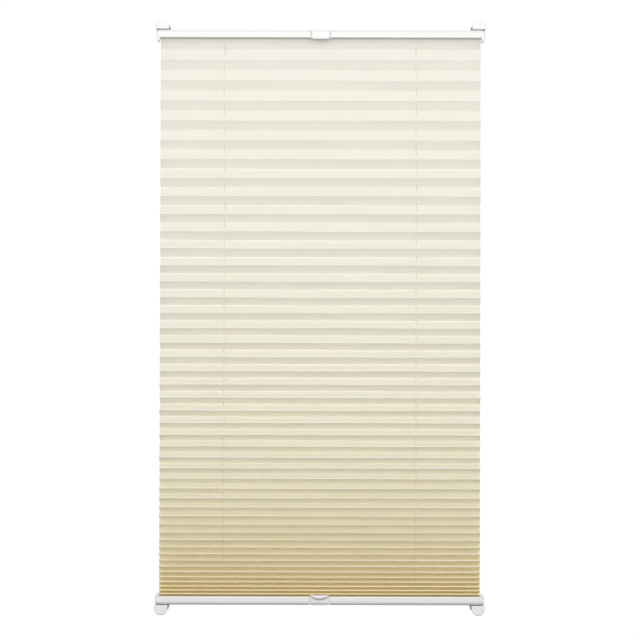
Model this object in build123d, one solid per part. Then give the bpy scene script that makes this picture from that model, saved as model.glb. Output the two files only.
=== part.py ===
"""Tensioned pleated window blind with clamp brackets, in millimetres.

+Z is up, +X is to the right seen from the room, and -Y faces the room. The pieces are first
laid out about the plane of the tension cords, and then moved together, so that the origin is
the centre of the overall box. One corner is modelled at the top right and mirrored to the
other three, and the bottom rail mirrors the top one.
"""

import os
from math import sqrt

from build123d import *

# --- Overall sizes -----------------------------------------------------------------------
rail_length = 550.0
blind_drop = 981.5  # outer face of one rail to outer face of the other, fully drawn
cut_over = 1.0  # how far a cut or a joining piece runs past the face it meets

# --- Pleated fabric ----------------------------------------------------------------------
pleat_depth = 20.0  # one facet, crease to crease
top_opening = 0.89  # height of the highest hung facet, as a share of the facet
bottom_opening = 0.14  # the same for the lowest facet
fabric_thickness = 0.3
fabric_side_gap = 1.5  # fabric edge to the end cap
fabric_lead = 0.6  # rail to the nearest run of fabric
last_crease_rise = 1.4  # lowest crease above the bottom rail
punched_hole = 3.2  # diameter of the cord holes
punch_reach = 3.0

# --- Rails -------------------------------------------------------------------------------
rail_height = 14.5
rail_wall = 1.3
rail_cover = 1.5  # rail past the folded pleats, at the front and at the back
rail_slot = 8.0
rail_corner = 6.0  # rounded outer side
lip_corner = 2.0  # corner on the fabric side

# --- Fabric strip and cord guides inside the rails ---------------------------------------
strip_width = 16.4
strip_thickness = 2.0
seat_gap = 0.05  # between pieces that sit on each other
guide_length = 12.0
guide_width = 7.4
guide_height = 3.0
guide_corner = 1.0

# --- End caps ----------------------------------------------------------------------------
cap_thickness = 4.0
cap_step = 0.8  # cap below the outer face of the rail
cap_overhang = 6.0  # cap past the rail, beside the fabric
cap_plug_length = 12.0
cap_corner = 2.0
cap_round = 0.8
plug_gap = 0.1

# --- Tension cords -----------------------------------------------------------------------
cord_diameter = 1.0
cord_inset = 111.0  # end of the rail to the cord
cord_bend = 4.0  # radius of the cord over a guide
cord_sidestep = 2.5  # each cord's exit from the middle plane, at the end caps
cord_run_height = 8.5  # cord inside the rail, above the rail's fabric side
cord_hole_gap = 0.5

# --- Handles -----------------------------------------------------------------------------
handle_length = 36.0
handle_flat = 30.0
handle_plate = 2.8
handle_step = 0.5  # handle below the outer face of the rail
handle_corner = 2.2
scoop_length = 27.0  # finger recess between the tongue and the outer edge
scoop_floor = 0.8  # what is left of the plate there
tongue_length = 34.0
tongue_reach = 7.5  # past the front of the rail at the middle
tongue_end_reach = 3.4
tongue_overhang = 2.6  # past the fabric side of the rail
tongue_height = 3.2  # its middle above the fabric side of the rail
tongue_round = 0.8
peg_diameter = 3.0
peg_length = 2.6
peg_spacing = 24.0

# --- Tension shoes -----------------------------------------------------------------------
shoe_width = 23.0
shoe_height = 16.8
shoe_shoulder = 7.0  # straight lower part of its sides
shoe_outer_taper = 3.5
shoe_inner_taper = 5.5
shoe_corner = 8.5
shoe_front = 9.0  # from the cord plane
shoe_overhang = 2.6  # past the end cap
shoe_gap = 0.8  # rail to shoe
shoe_round = 1.6
bead_diameter = 4.4
bead_length = 5.0
bead_round = 0.5
bead_rise = 4.0  # shoe's flat side to the bead
pocket_gap = 0.4
post_width = 8.0
post_height = 4.0
post_reach = 7.0
post_rise = 1.0

# --- Clamp brackets ----------------------------------------------------------------------
plate_gap = 1.0  # rail to bracket plate
plate_thickness = 2.5
plate_inset = 0.5  # plate inside the outline of the shoe
plate_drop = 15.0  # plate below the shoe
guard_gap = 0.4  # shoe to the tip of the leaning guard
guard_reach = 3.2  # shoe to the outside of its foot
guard_wall = 0.9
guard_height = 8.0
guard_front = 6.0
arm_width = 13.0
arm_rise = 5.3  # shoe's flat side to the underside of the arm
arm_height = 9.0
arm_floor = 2.0
arm_end_wall = 2.0
channel_width = 8.6
channel_slot = 5.0

# --- Sliding jaws ------------------------------------------------------------------------
sash_thickness = 20.0  # what the jaws grip at rest
jaw_travel = 5.0  # each way
jaw_gap = 0.15  # running gap between jaw and arm
jaw_wall = 3.0
jaw_drop = 18.0
jaw_block_length = 6.0
pad_thickness = 2.0
pad_margin = 1.5

# --- Clamp screws and nuts ---------------------------------------------------------------
screw_diameter = 2.9
screw_head_diameter = 5.6
screw_head_height = 1.9
screw_head_round = 0.6
screw_rise = 5.5  # underside of the arm to the screw's axis
screw_tip_gap = 1.0
screw_hole_gap = 0.05
recess_width = 0.9
recess_length = 3.4
recess_depth = 1.1
nut_width = 5.5
nut_thickness = 1.8
nut_gap = 0.1

# --- Worked out from the sizes above -----------------------------------------------------
half_length = rail_length / 2
rail_depth = pleat_depth + 2 * rail_cover
rail_face = rail_depth / 2
rail_outer = blind_drop / 2
rail_inner = rail_outer - rail_height
peg_z = rail_inner + (rail_height - rail_corner + lip_corner) / 2
cord_hole = cord_diameter + 2 * cord_hole_gap
cord_x = half_length - cord_inset
cord_entry_x = half_length + cap_thickness / 2
cord_run_z = rail_inner + cord_run_height
tab_y = rail_slot / 2 - fabric_lead
strip_base = rail_wall + fabric_thickness + 2 * seat_gap
strip_top = strip_base + strip_thickness
shoe_outer_x = half_length + cap_thickness + shoe_overhang
shoe_x = shoe_outer_x - shoe_width / 2
shoe_base = rail_outer + shoe_gap
shoe_inner_x = shoe_outer_x - shoe_width
bead_base = shoe_base + bead_rise
plate_front = rail_face + plate_gap
sash_face = plate_front + plate_thickness
arm_base = shoe_base + arm_rise
screw_z = arm_base + screw_rise
pad_face = sash_face + sash_thickness
jaw_face = pad_face + pad_thickness
nut_y = jaw_face + jaw_block_length / 2
channel_end = jaw_face + jaw_block_length + jaw_travel + 2 * jaw_gap
arm_end = channel_end + arm_end_wall
front_reach = rail_face + tongue_reach
depth_centre = (arm_end - front_reach) / 2
move_to_origin = Location((0, -depth_centre, 0))


def block(x_range, y_range, z_range):
    """A box between two limits along each axis."""
    (x0, x1), (y0, y1), (z0, z1) = x_range, y_range, z_range
    middle = Location(((x0 + x1) / 2, (y0 + y1) / 2, (z0 + z1) / 2))
    return middle * Box(x1 - x0, y1 - y0, z1 - z0)


def along_y(radius, y_range, x, z):
    """A round bar along Y."""
    y0, y1 = y_range
    return Location((x, (y0 + y1) / 2, z), (90, 0, 0)) * Cylinder(radius, y1 - y0)


# --- Fabric ------------------------------------------------------------------------------
def creases():
    """Centre line of the hung fabric as (y, z) points, from the top tab to the bottom tab.

    The first crease is at the front and the last one at the back.
    """
    first_z = rail_inner - fabric_lead
    last_z = -rail_inner + last_crease_rise
    hung = first_z - last_z
    pleats = round(hung / (pleat_depth * (top_opening + bottom_opening)))
    facets = 2 * pleats - 1
    lowest = bottom_opening * pleat_depth
    highest = 2 * hung / facets - lowest
    heights = [highest + (lowest - highest) * n / (facets - 1) for n in range(facets)]
    y = -sqrt(pleat_depth**2 - highest**2) / 2
    z = first_z
    points = [(y, z)]
    towards_back = 1
    for height in heights:
        y += towards_back * sqrt(pleat_depth**2 - height**2)
        z -= height
        points.append((y, z))
        towards_back = -towards_back
    return points


def fabric_line():
    """The creases with the two tabs that the strips hold inside the rails."""
    tab_end = strip_width / 2
    tab_z = rail_inner + rail_wall + seat_gap + fabric_thickness / 2
    top_tab = [(-tab_end, tab_z), (-tab_y, tab_z), (-tab_y, rail_inner - fabric_lead)]
    bottom_tab = [(y, -z) for y, z in reversed(top_tab)]
    return top_tab + creases() + bottom_tab


def offset_line(points, distance):
    """A line beside an open line, mitred at each corner. A positive distance lies to the left."""
    normals = []
    for (y0, z0), (y1, z1) in zip(points, points[1:]):
        length = sqrt((y1 - y0) ** 2 + (z1 - z0) ** 2)
        normals.append(((z0 - z1) / length, (y1 - y0) / length))
    before = [normals[0]] + normals
    after = normals + [normals[-1]]
    moved = []
    for (y, z), (ay, az), (by, bz) in zip(points, before, after):
        share = distance / (1 + ay * by + az * bz)
        moved.append((y + (ay + by) * share, z + (az + bz) * share))
    return moved


def pleated_fabric():
    """The whole folded sheet, with a round hole wherever a cord goes through it."""
    line = fabric_line()
    half = fabric_thickness / 2
    outline = offset_line(line, half) + offset_line(line, -half)[::-1]
    face = make_face(Plane.YZ * Polyline(*outline, close=True))
    sheet = extrude(face, half_length - fabric_side_gap, both=True)
    punches = []
    for (y0, z0), (y1, z1) in zip(line, line[1:]):
        if y0 * y1 > 0:
            continue
        share = -y0 / (y1 - y0)
        centre = (0, 0, z0 + (z1 - z0) * share)
        facet = Plane(origin=centre, x_dir=(1, 0, 0), z_dir=(0, z0 - z1, y1 - y0))
        for x in (-cord_x, cord_x):
            punches.append(facet * Pos(x, 0, 0) * Cylinder(punched_hole / 2, punch_reach))
    return sheet - punches


# --- Rails and what they hold ------------------------------------------------------------
def rail_outline(grow):
    """Section of the rail's outside, grown outwards, or drawn in where grow is under 0."""
    outline = Rectangle(rail_depth + 2 * grow, rail_height + 2 * grow)
    outline = fillet(outline.vertices().group_by(Axis.Y)[-1], rail_corner + grow)
    outline = fillet(outline.vertices().group_by(Axis.Y)[0], lip_corner + grow)
    return Plane.YZ * (Pos(0, rail_inner + rail_height / 2) * outline)


def top_rail():
    """Extruded channel, open along its fabric side, with two peg holes for the handle."""
    rail = extrude(rail_outline(0) - rail_outline(-rail_wall), half_length, both=True)
    rail -= block(
        (-half_length, half_length),
        (-rail_slot / 2, rail_slot / 2),
        (rail_inner - cut_over, rail_inner + rail_wall + cut_over),
    )
    hole = peg_diameter / 2 + seat_gap
    hole_y = (-rail_face - cut_over, -rail_face + rail_wall + cut_over)
    for x in (-peg_spacing / 2, peg_spacing / 2):
        rail -= along_y(hole, hole_y, x, peg_z)
    return rail


def fabric_strip():
    """Flat bar that holds the tab of the fabric against the rail's front lip."""
    half = half_length - fabric_side_gap
    strip = block(
        (-half, half),
        (-strip_width / 2, strip_width / 2),
        (rail_inner + strip_base, rail_inner + strip_top),
    )
    for x in (-cord_x, cord_x):
        strip -= Pos(x, 0, rail_inner + strip_base) * Cylinder(cord_hole, rail_height)
    return strip


def cord_guide():
    """Flared block that leads a cord from the rail down through the strip."""
    base = rail_inner + strip_top + seat_gap
    body = block(
        (cord_x - guide_length / 2, cord_x + guide_length / 2),
        (-guide_width / 2, guide_width / 2),
        (base, base + guide_height),
    )
    body = fillet(body.edges().filter_by(Axis.Z), guide_corner)
    flare = Pos(cord_x, 0, base + guide_height / 2)
    return body - flare * Cone(cord_hole / 2, cord_hole, guide_height)


def handle():
    """Finger pull: a plate round the rail's front, a crescent tongue and two pegs."""
    plan = Polyline(
        (-handle_length / 2, 0),
        (-handle_length / 2, -rail_face),
        (-handle_flat / 2, -rail_face - handle_plate),
        (handle_flat / 2, -rail_face - handle_plate),
        (handle_length / 2, -rail_face),
        (handle_length / 2, 0),
        close=True,
    )
    plan = make_face(plan)
    plan = fillet(plan.vertices().group_by(Axis.Y)[0], handle_corner)
    skin = rail_outline(handle_plate) - rail_outline(seat_gap)
    plate = extrude(skin, handle_length, both=True)
    plate &= extrude(Pos(0, 0, rail_inner) * plan, rail_height - handle_step)
    scoop = rail_outline(2 * handle_plate) - rail_outline(scoop_floor)
    scoop = extrude(scoop, scoop_length / 2, both=True)
    plate -= scoop & block(
        (-scoop_length / 2, scoop_length / 2),
        (-front_reach, 0),
        (rail_inner + tongue_height / 2, rail_outer + cut_over),
    )

    tongue_base = rail_inner - tongue_overhang
    half = tongue_length / 2
    crescent_top = tongue_base + tongue_height + tongue_overhang
    crescent = Plane.XZ * make_face(
        [
            Line((half, tongue_base), (-half, tongue_base)),
            ThreePointArc((-half, tongue_base), (0, crescent_top), (half, tongue_base)),
        ]
    )
    back_y = -rail_face - scoop_floor / 2
    end_y = -rail_face - tongue_end_reach
    bulge = make_face(
        [
            Line((-half, end_y), (-half, back_y)),
            Line((-half, back_y), (half, back_y)),
            Line((half, back_y), (half, end_y)),
            ThreePointArc((half, end_y), (0, -front_reach), (-half, end_y)),
        ]
    )
    tongue = extrude(crescent, 2 * front_reach, both=True)
    tongue &= extrude(Pos(0, 0, tongue_base) * bulge, rail_height)
    tongue = fillet(tongue.faces().sort_by(Axis.Y)[0].edges(), tongue_round)
    pull = plate + tongue
    for x in (-peg_spacing / 2, peg_spacing / 2):
        y_range = (-rail_face - scoop_floor / 2, -rail_face + peg_length)
        pull += along_y(peg_diameter / 2, y_range, x, peg_z)
    return pull


# --- Cords -------------------------------------------------------------------------------
def cord_path(side):
    """Centre line of one cord: shoe, end cap, rail, fabric, rail, end cap and shoe.

    side is the side of the cord's shoes: 1 is right and -1 is left. The cord crosses to the
    other side inside each rail, which keeps both rails level.
    """
    entry = (side * cord_entry_x, side * cord_sidestep)
    top = bead_base + bead_length
    return FilletPolyline(
        (*entry, top),
        (*entry, cord_run_z),
        (-side * cord_x, 0, cord_run_z),
        (-side * cord_x, 0, -cord_run_z),
        (*entry, -cord_run_z),
        (*entry, -top),
        radius=cord_bend,
    )


def cord_tube(side, diameter):
    """A round tube along one cord's whole line."""
    path = cord_path(side)
    return sweep(Plane(origin=path @ 0, z_dir=path % 0) * Circle(diameter / 2), path)


def cord_bead(side):
    """Crimped bead that stops the cord's end in its shoe."""
    spot = Pos(cord_entry_x, side * cord_sidestep, bead_base + bead_length / 2)
    ring = Cylinder(bead_diameter / 2, bead_length)
    ring = fillet(ring.edges().filter_by(GeomType.CIRCLE), bead_round)
    return spot * (ring - Cylinder(cord_diameter / 2 + seat_gap, bead_length))


# --- Corner pieces, at the top right -----------------------------------------------------
def end_cap(side):
    """Cap with a plug in the rail, and a curved way for the cord."""
    plate_top = rail_outer - cap_step
    plate_bottom = rail_inner - cap_overhang
    plate = block(
        (half_length, half_length + cap_thickness),
        (-rail_face, rail_face),
        (plate_bottom, plate_top),
    )
    upper = plate.edges().filter_by(Axis.X).group_by(Axis.Z)[-1]
    plate = fillet(upper, rail_corner - cap_step)
    lower = plate.edges().filter_by(Axis.X).group_by(Axis.Z)[0]
    plate = fillet(lower, cap_corner)
    plate = fillet(plate.faces().sort_by(Axis.X)[-1].edges(), cap_round)
    plug_start = half_length - cap_plug_length
    plug_end = half_length + cap_thickness / 2
    plug = extrude(rail_outline(-rail_wall - plug_gap), plug_end)
    plug &= block(
        (plug_start, plug_end),
        (-rail_face, rail_face),
        (rail_inner + strip_top + plug_gap, rail_outer),
    )
    return plate + plug - cord_way(side)


def cord_way(side):
    """The space kept for the cord at the top right corner."""
    entry = (cord_entry_x, side * cord_sidestep)
    inner_x = half_length - 2 * cap_plug_length
    lean = side * cord_sidestep * (inner_x + cord_x) / (cord_entry_x + cord_x)
    path = FilletPolyline(
        (*entry, bead_base),
        (*entry, cord_run_z),
        (inner_x, lean, cord_run_z),
        radius=cord_bend,
    )
    return sweep(Plane(origin=path @ 0, z_dir=path % 0) * Circle(cord_hole / 2), path)


def dome(inset):
    """Face of the shoe's tapered outline in the XZ plane, drawn in by an inset, but for its base."""
    outer = shoe_outer_x - inset
    inner = shoe_inner_x + inset
    shoulder = shoe_base + shoe_shoulder
    top = shoe_base + shoe_height - inset
    outline = make_face(
        Polyline(
            (outer, shoe_base),
            (outer, shoulder),
            (outer - shoe_outer_taper, top),
            (inner + shoe_inner_taper, top),
            (inner, shoulder),
            (inner, shoe_base),
            close=True,
        )
    )
    corner = min(shoe_corner, 0.7 * (shoe_width - shoe_outer_taper - shoe_inner_taper))
    outline = fillet(outline.vertices().group_by(Axis.Y)[1:], corner - inset)
    return Plane.XZ * outline


def tension_shoe(side):
    """Rounded shoe that clips on the bracket and holds the end of the cord."""
    body = extrude(Pos(0, plate_front, 0) * dome(0), plate_front + shoe_front)
    body = fillet(body.faces().sort_by(Axis.Y)[0].edges(), shoe_round)
    cord_y = side * cord_sidestep
    half = bead_diameter / 2 + pocket_gap
    body -= block(
        (cord_entry_x - half, cord_entry_x + half),
        (cord_y - half, plate_front),
        (bead_base - seat_gap, bead_base + bead_length + pocket_gap),
    )
    body -= block(
        (cord_entry_x - cord_hole / 2, cord_entry_x + cord_hole / 2),
        (cord_y - cord_hole / 2, plate_front),
        (shoe_base - cut_over, bead_base),
    )
    body -= post(seat_gap)
    head = screw_head_diameter / 2 + pocket_gap
    head_front = plate_front - screw_head_height - pocket_gap
    return body - along_y(head, (head_front, plate_front), shoe_x, screw_z)


def post(gap):
    """The bracket's post, or the shoe's socket for it where gap is over 0."""
    half = post_width / 2 + gap
    base = shoe_base + post_rise
    return block(
        (shoe_x - half, shoe_x + half),
        (plate_front - post_reach - gap, plate_front),
        (base - gap, base + post_height + gap),
    )


def clamp_bracket():
    """Plate on the sash with a guard beside the shoe, a post, and a channel over the sash."""
    plate = extrude(Pos(0, sash_face, 0) * dome(plate_inset), plate_thickness)
    half = shoe_width / 2 - plate_inset
    plate += block(
        (shoe_x - half, shoe_x + half),
        (plate_front, sash_face),
        (shoe_base - plate_drop, shoe_base),
    )
    foot_x = shoe_inner_x - guard_reach
    tip_x = shoe_inner_x - guard_gap
    tip_z = shoe_base + guard_height
    foot = (foot_x, shoe_base)
    tip = (tip_x - guard_wall, tip_z)
    web = Polyline(foot, (shoe_x, shoe_base), (shoe_x, tip_z), tip, close=True)
    wall = Polyline(foot, (foot_x + guard_wall, shoe_base), (tip_x, tip_z), tip, close=True)
    plate += extrude(Pos(0, sash_face, 0) * (Plane.XZ * make_face(web)), plate_thickness)
    guard_length = plate_front + guard_front
    plate += extrude(Pos(0, plate_front, 0) * (Plane.XZ * make_face(wall)), guard_length)

    arm = block(
        (shoe_x - arm_width / 2, shoe_x + arm_width / 2),
        (sash_face, arm_end),
        (arm_base, arm_base + arm_height),
    )
    arm -= block(
        (shoe_x - channel_width / 2, shoe_x + channel_width / 2),
        (sash_face, channel_end),
        (arm_base + arm_floor, arm_base + arm_height),
    )
    arm -= block(
        (shoe_x - channel_slot / 2, shoe_x + channel_slot / 2),
        (jaw_face - jaw_travel - 2 * jaw_gap, channel_end),
        (arm_base, arm_base + arm_floor),
    )
    bracket = plate + arm + post(0)
    hole = screw_diameter / 2 + screw_hole_gap
    return bracket - along_y(hole, (plate_front, sash_face), shoe_x, screw_z)


def clamp_jaw():
    """Sliding jaw: a block in the arm's channel, a neck, and a tail behind the sash."""
    block_half = channel_width / 2 - jaw_gap
    neck_half = channel_slot / 2 - jaw_gap
    floor_top = arm_base + arm_floor + jaw_gap
    tail_top = arm_base - jaw_gap
    y_range = (jaw_face, jaw_face + jaw_block_length)
    jaw = block(
        (shoe_x - block_half, shoe_x + block_half),
        y_range,
        (floor_top, arm_base + arm_height - jaw_gap),
    )
    nut_half = nut_width / 2 + nut_gap
    jaw -= block(
        (shoe_x - nut_half, shoe_x + nut_half),
        (nut_y - nut_thickness / 2 - nut_gap, nut_y + nut_thickness / 2 + nut_gap),
        (screw_z - nut_half, arm_base + arm_height),
    )
    hole = screw_diameter / 2 + screw_hole_gap
    through = (jaw_face - cut_over, jaw_face + jaw_block_length + cut_over)
    jaw -= along_y(hole, through, shoe_x, screw_z)
    neck_z = (tail_top - cut_over, floor_top)
    jaw += block((shoe_x - neck_half, shoe_x + neck_half), y_range, neck_z)
    tail = block(
        (shoe_x - arm_width / 2, shoe_x + arm_width / 2),
        (jaw_face, jaw_face + jaw_wall),
        (tail_top - jaw_drop, tail_top),
    )
    return jaw + fillet(tail.edges().filter_by(Axis.Y).group_by(Axis.Z)[0], jaw_wall)


def jaw_pad():
    """Rubber pad on the tail of the jaw."""
    half = arm_width / 2 - pad_margin
    tail_top = arm_base - jaw_gap
    pad = block(
        (shoe_x - half, shoe_x + half),
        (pad_face, jaw_face),
        (tail_top - jaw_drop + pad_margin, tail_top - pad_margin),
    )
    return fillet(pad.edges().filter_by(Axis.Y), pad_margin)


def clamp_screw():
    """Pan-head screw with a cross recess. Its tip reaches the nut at the jaw's far end."""
    tip = channel_end - screw_tip_gap
    screw = along_y(screw_diameter / 2, (plate_front, tip), shoe_x, screw_z)
    head_front = plate_front - screw_head_height
    head = along_y(screw_head_diameter / 2, (head_front, plate_front), shoe_x, screw_z)
    head = fillet(head.edges().group_by(Axis.Y)[0], screw_head_round)
    depth = (head_front, head_front + recess_depth)
    wide = (shoe_x - recess_length / 2, shoe_x + recess_length / 2)
    narrow = (shoe_x - recess_width / 2, shoe_x + recess_width / 2)
    head -= block(wide, depth, (screw_z - recess_width / 2, screw_z + recess_width / 2))
    head -= block(narrow, depth, (screw_z - recess_length / 2, screw_z + recess_length / 2))
    return screw + head


def jaw_nut():
    """Square nut held in the jaw's pocket."""
    half = nut_width / 2
    nut = block(
        (shoe_x - half, shoe_x + half),
        (nut_y - nut_thickness / 2, nut_y + nut_thickness / 2),
        (screw_z - half, screw_z + half),
    )
    hole = screw_diameter / 2 + screw_hole_gap
    return nut - along_y(hole, (nut_y - nut_thickness, nut_y + nut_thickness), shoe_x, screw_z)


# --- Placing and writing -----------------------------------------------------------------
def write(shape, node):
    """Writes one piece, moved to the origin of the whole blind."""
    export_step(move_to_origin * shape, f"parts/{node}.step")


def lowered(shape):
    """The same piece at the bottom of the blind."""
    return mirror(shape, Plane.XY)


def write_corner(level, side_name, side):
    """The pieces of one corner."""
    pieces = {
        "end_cap": end_cap(side),
        "cord_guide": cord_guide(),
        "tension_shoe": tension_shoe(side),
        "cord_bead": cord_bead(side),
        "clamp_bracket": clamp_bracket(),
        "clamp_jaw": clamp_jaw(),
        "jaw_pad": jaw_pad(),
        "clamp_screw": clamp_screw(),
        "jaw_nut": jaw_nut(),
    }
    for name, piece in pieces.items():
        if side < 0:
            piece = mirror(piece, Plane.YZ)
        if level == "bottom":
            piece = lowered(piece)
        write(piece, f"{level}_{side_name}_{name}")


def main():
    """Builds the blind and writes one file for each node."""
    os.makedirs("parts", exist_ok=True)
    write(pleated_fabric(), "pleated_fabric")
    for name, piece in {
        "rail": top_rail(),
        "fabric_strip": fabric_strip(),
        "handle": handle(),
    }.items():
        write(piece, f"top_{name}")
        write(lowered(piece), f"bottom_{name}")
    for side_name, side in {"left": -1, "right": 1}.items():
        write(cord_tube(side, cord_diameter), f"{side_name}_tension_cord")
        for level in ("top", "bottom"):
            write_corner(level, side_name, side)


main()
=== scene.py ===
"""Looks of a tensioned pleated window blind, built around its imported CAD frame.

Lengths are in metres, in the frame of the CAD part: +Z is up, +X is to the right seen from the
room, and -Y faces the room. The folded cloth and the tension cords are made here. The rails, end
caps, handles, shoes and clamps are the CAD's own pieces with their real finishes.
"""

import logging
import math
from bisect import bisect_left
from dataclasses import dataclass, field
from enum import Enum
from typing import Any

import bmesh
import bpy
from mathutils import Matrix, Vector


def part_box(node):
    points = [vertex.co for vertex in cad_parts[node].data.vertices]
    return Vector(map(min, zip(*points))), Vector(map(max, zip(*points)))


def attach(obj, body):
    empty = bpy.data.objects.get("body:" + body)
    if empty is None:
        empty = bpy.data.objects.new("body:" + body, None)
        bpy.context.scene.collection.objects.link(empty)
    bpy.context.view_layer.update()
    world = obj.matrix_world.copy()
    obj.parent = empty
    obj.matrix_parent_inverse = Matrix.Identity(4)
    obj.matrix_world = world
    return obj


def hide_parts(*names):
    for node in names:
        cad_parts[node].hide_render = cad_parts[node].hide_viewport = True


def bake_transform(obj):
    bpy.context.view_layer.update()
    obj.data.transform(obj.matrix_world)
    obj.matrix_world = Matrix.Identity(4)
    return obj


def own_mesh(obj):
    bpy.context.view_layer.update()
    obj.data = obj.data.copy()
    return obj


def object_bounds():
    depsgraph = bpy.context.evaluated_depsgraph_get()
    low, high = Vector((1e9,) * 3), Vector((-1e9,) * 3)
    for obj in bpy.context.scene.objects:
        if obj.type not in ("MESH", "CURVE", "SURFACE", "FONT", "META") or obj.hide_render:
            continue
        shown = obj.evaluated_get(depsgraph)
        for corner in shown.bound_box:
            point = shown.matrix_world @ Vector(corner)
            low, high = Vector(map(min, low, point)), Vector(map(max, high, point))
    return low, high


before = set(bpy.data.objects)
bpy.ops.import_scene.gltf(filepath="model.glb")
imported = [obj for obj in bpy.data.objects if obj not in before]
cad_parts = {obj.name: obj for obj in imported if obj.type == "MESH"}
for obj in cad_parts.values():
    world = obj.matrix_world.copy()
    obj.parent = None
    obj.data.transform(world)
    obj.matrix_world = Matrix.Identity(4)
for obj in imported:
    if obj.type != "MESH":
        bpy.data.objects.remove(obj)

CAD_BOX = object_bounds()
LOG = logging.getLogger("pleated_blind")

CLAMPS_BODY = "sash_clamps"
CLOTH_NODE = "pleated_fabric"
LEFT_CORD_NODE = "left_tension_cord"
# The cloth's UV map of its flat place, and its attribute for how close its folds lie.
FLAT_MAP = "flat"
CLOSENESS = "closeness"

MM = 0.001
# The depth of a pleat, from crease to crease along the cloth.
FACET = 20 * MM
CORD_RADIUS = 0.5 * MM
# Points nearer to each other than this are the same place.
SAME_PLACE = 0.1 * MM
# Corners of the cut edge nearer in height than this belong to one crease.
SAME_CREASE = 0.8 * MM
SMOOTH_ANGLE = math.radians(45)
# The colour sockets of a Mix node, whose names it repeats for its other kinds of value.
MIX_A = 6
MIX_B = 7
MIX_RESULT = 2


class Level(Enum):
    """The two rails, and the way from the middle of the blind to each."""

    TOP = 1
    BOTTOM = -1

    @property
    def word(self) -> str:
        """The level's word in the names of nodes."""
        return self.name.lower()

    @property
    def body(self) -> str:
        """The body that carries the rail."""
        return f"{self.word}_rail_body"

    @property
    def joint(self) -> str:
        """The joint that slides the rail."""
        return f"{self.word}_rail_slide"


class Side(Enum):
    """The two sides of the blind, seen from the room."""

    LEFT = -1
    RIGHT = 1

    @property
    def word(self) -> str:
        """The side's word in the names of nodes."""
        return self.name.lower()


# --- Materials ---------------------------------------------------------------------------
def linear(hex_colour: str) -> tuple[float, float, float, float]:
    """Turns an sRGB hex colour into a linear colour.

    Args:
        hex_colour: Six hex digits, red first.

    Returns:
        Red, green, blue and a full alpha.
    """
    channels = [int(hex_colour[i : i + 2], 16) / 255 for i in (0, 2, 4)]
    red, green, blue = [c / 12.92 if c <= 0.04045 else ((c + 0.055) / 1.055) ** 2.4 for c in channels]
    return red, green, blue, 1.0


def add_node(
    tree: bpy.types.NodeTree,
    kind: str,
    settings: dict[str, Any] | None = None,
    inputs: dict[str | int, Any] | None = None,
) -> bpy.types.Node:
    """Adds one node with its settings and links.

    Args:
        tree: The node tree it goes in.
        kind: The node's type, without the word ShaderNode.
        settings: Values for the node's own attributes.
        inputs: For each input, its value or the output that feeds it.

    Returns:
        The new node.
    """
    node = tree.nodes.new(f"ShaderNode{kind}")
    for name, value in (settings or {}).items():
        setattr(node, name, value)
    for name, value in (inputs or {}).items():
        if isinstance(value, bpy.types.NodeSocket):
            tree.links.new(value, node.inputs[name])
        else:
            node.inputs[name].default_value = value
    return node


@dataclass(frozen=True)
class Finish:
    """A plain finish: one shader with a fine grain in its roughness and relief.

    grain is the size of the grain, and relief the height of it, in metres. roughness_spread is how
    far the roughness goes each way, and stretch how many times longer the grain is along X, Y and Z.
    """

    name: str
    colour: str
    roughness: float
    grain: float
    relief: float
    ior: float = 1.5
    metallic: float = 0.0
    roughness_spread: float = 0.06
    stretch: tuple[float, float, float] = (1.0, 1.0, 1.0)

    def build(self) -> bpy.types.Material:
        """Makes the material, ready to be used on any piece.

        Returns:
            The new material.
        """
        material = bpy.data.materials.new(self.name)
        material.use_nodes = True
        tree = material.node_tree
        tree.nodes.clear()
        surface = self.surface(tree)
        add_node(tree, "OutputMaterial", inputs={"Surface": surface})
        return material

    def surface(self, tree: bpy.types.NodeTree) -> bpy.types.NodeSocket:
        """Makes the surface shader.

        Args:
            tree: The material's node tree.

        Returns:
            The shader's output.
        """
        place = add_node(tree, "TexCoord").outputs["Object"]
        scale = [1 / (self.grain * pull) for pull in self.stretch]
        place = add_node(tree, "Mapping", inputs={"Vector": place, "Scale": scale}).outputs[0]
        grain = add_node(tree, "TexNoise", inputs={"Vector": place, "Scale": 1.0, "Detail": 2.0}).outputs[0]
        low, high = self.roughness - self.roughness_spread, self.roughness + self.roughness_spread
        rough = add_node(tree, "MapRange", inputs={"Value": grain, "To Min": low, "To Max": high}).outputs[0]
        bump = add_node(tree, "Bump", inputs={"Height": grain, "Distance": self.relief}).outputs[0]
        shader = add_node(
            tree,
            "BsdfPrincipled",
            inputs={
                "Base Color": linear(self.colour),
                "Roughness": rough,
                "IOR": self.ior,
                "Metallic": self.metallic,
                "Normal": bump,
            },
        )
        return shader.outputs[0]


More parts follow.
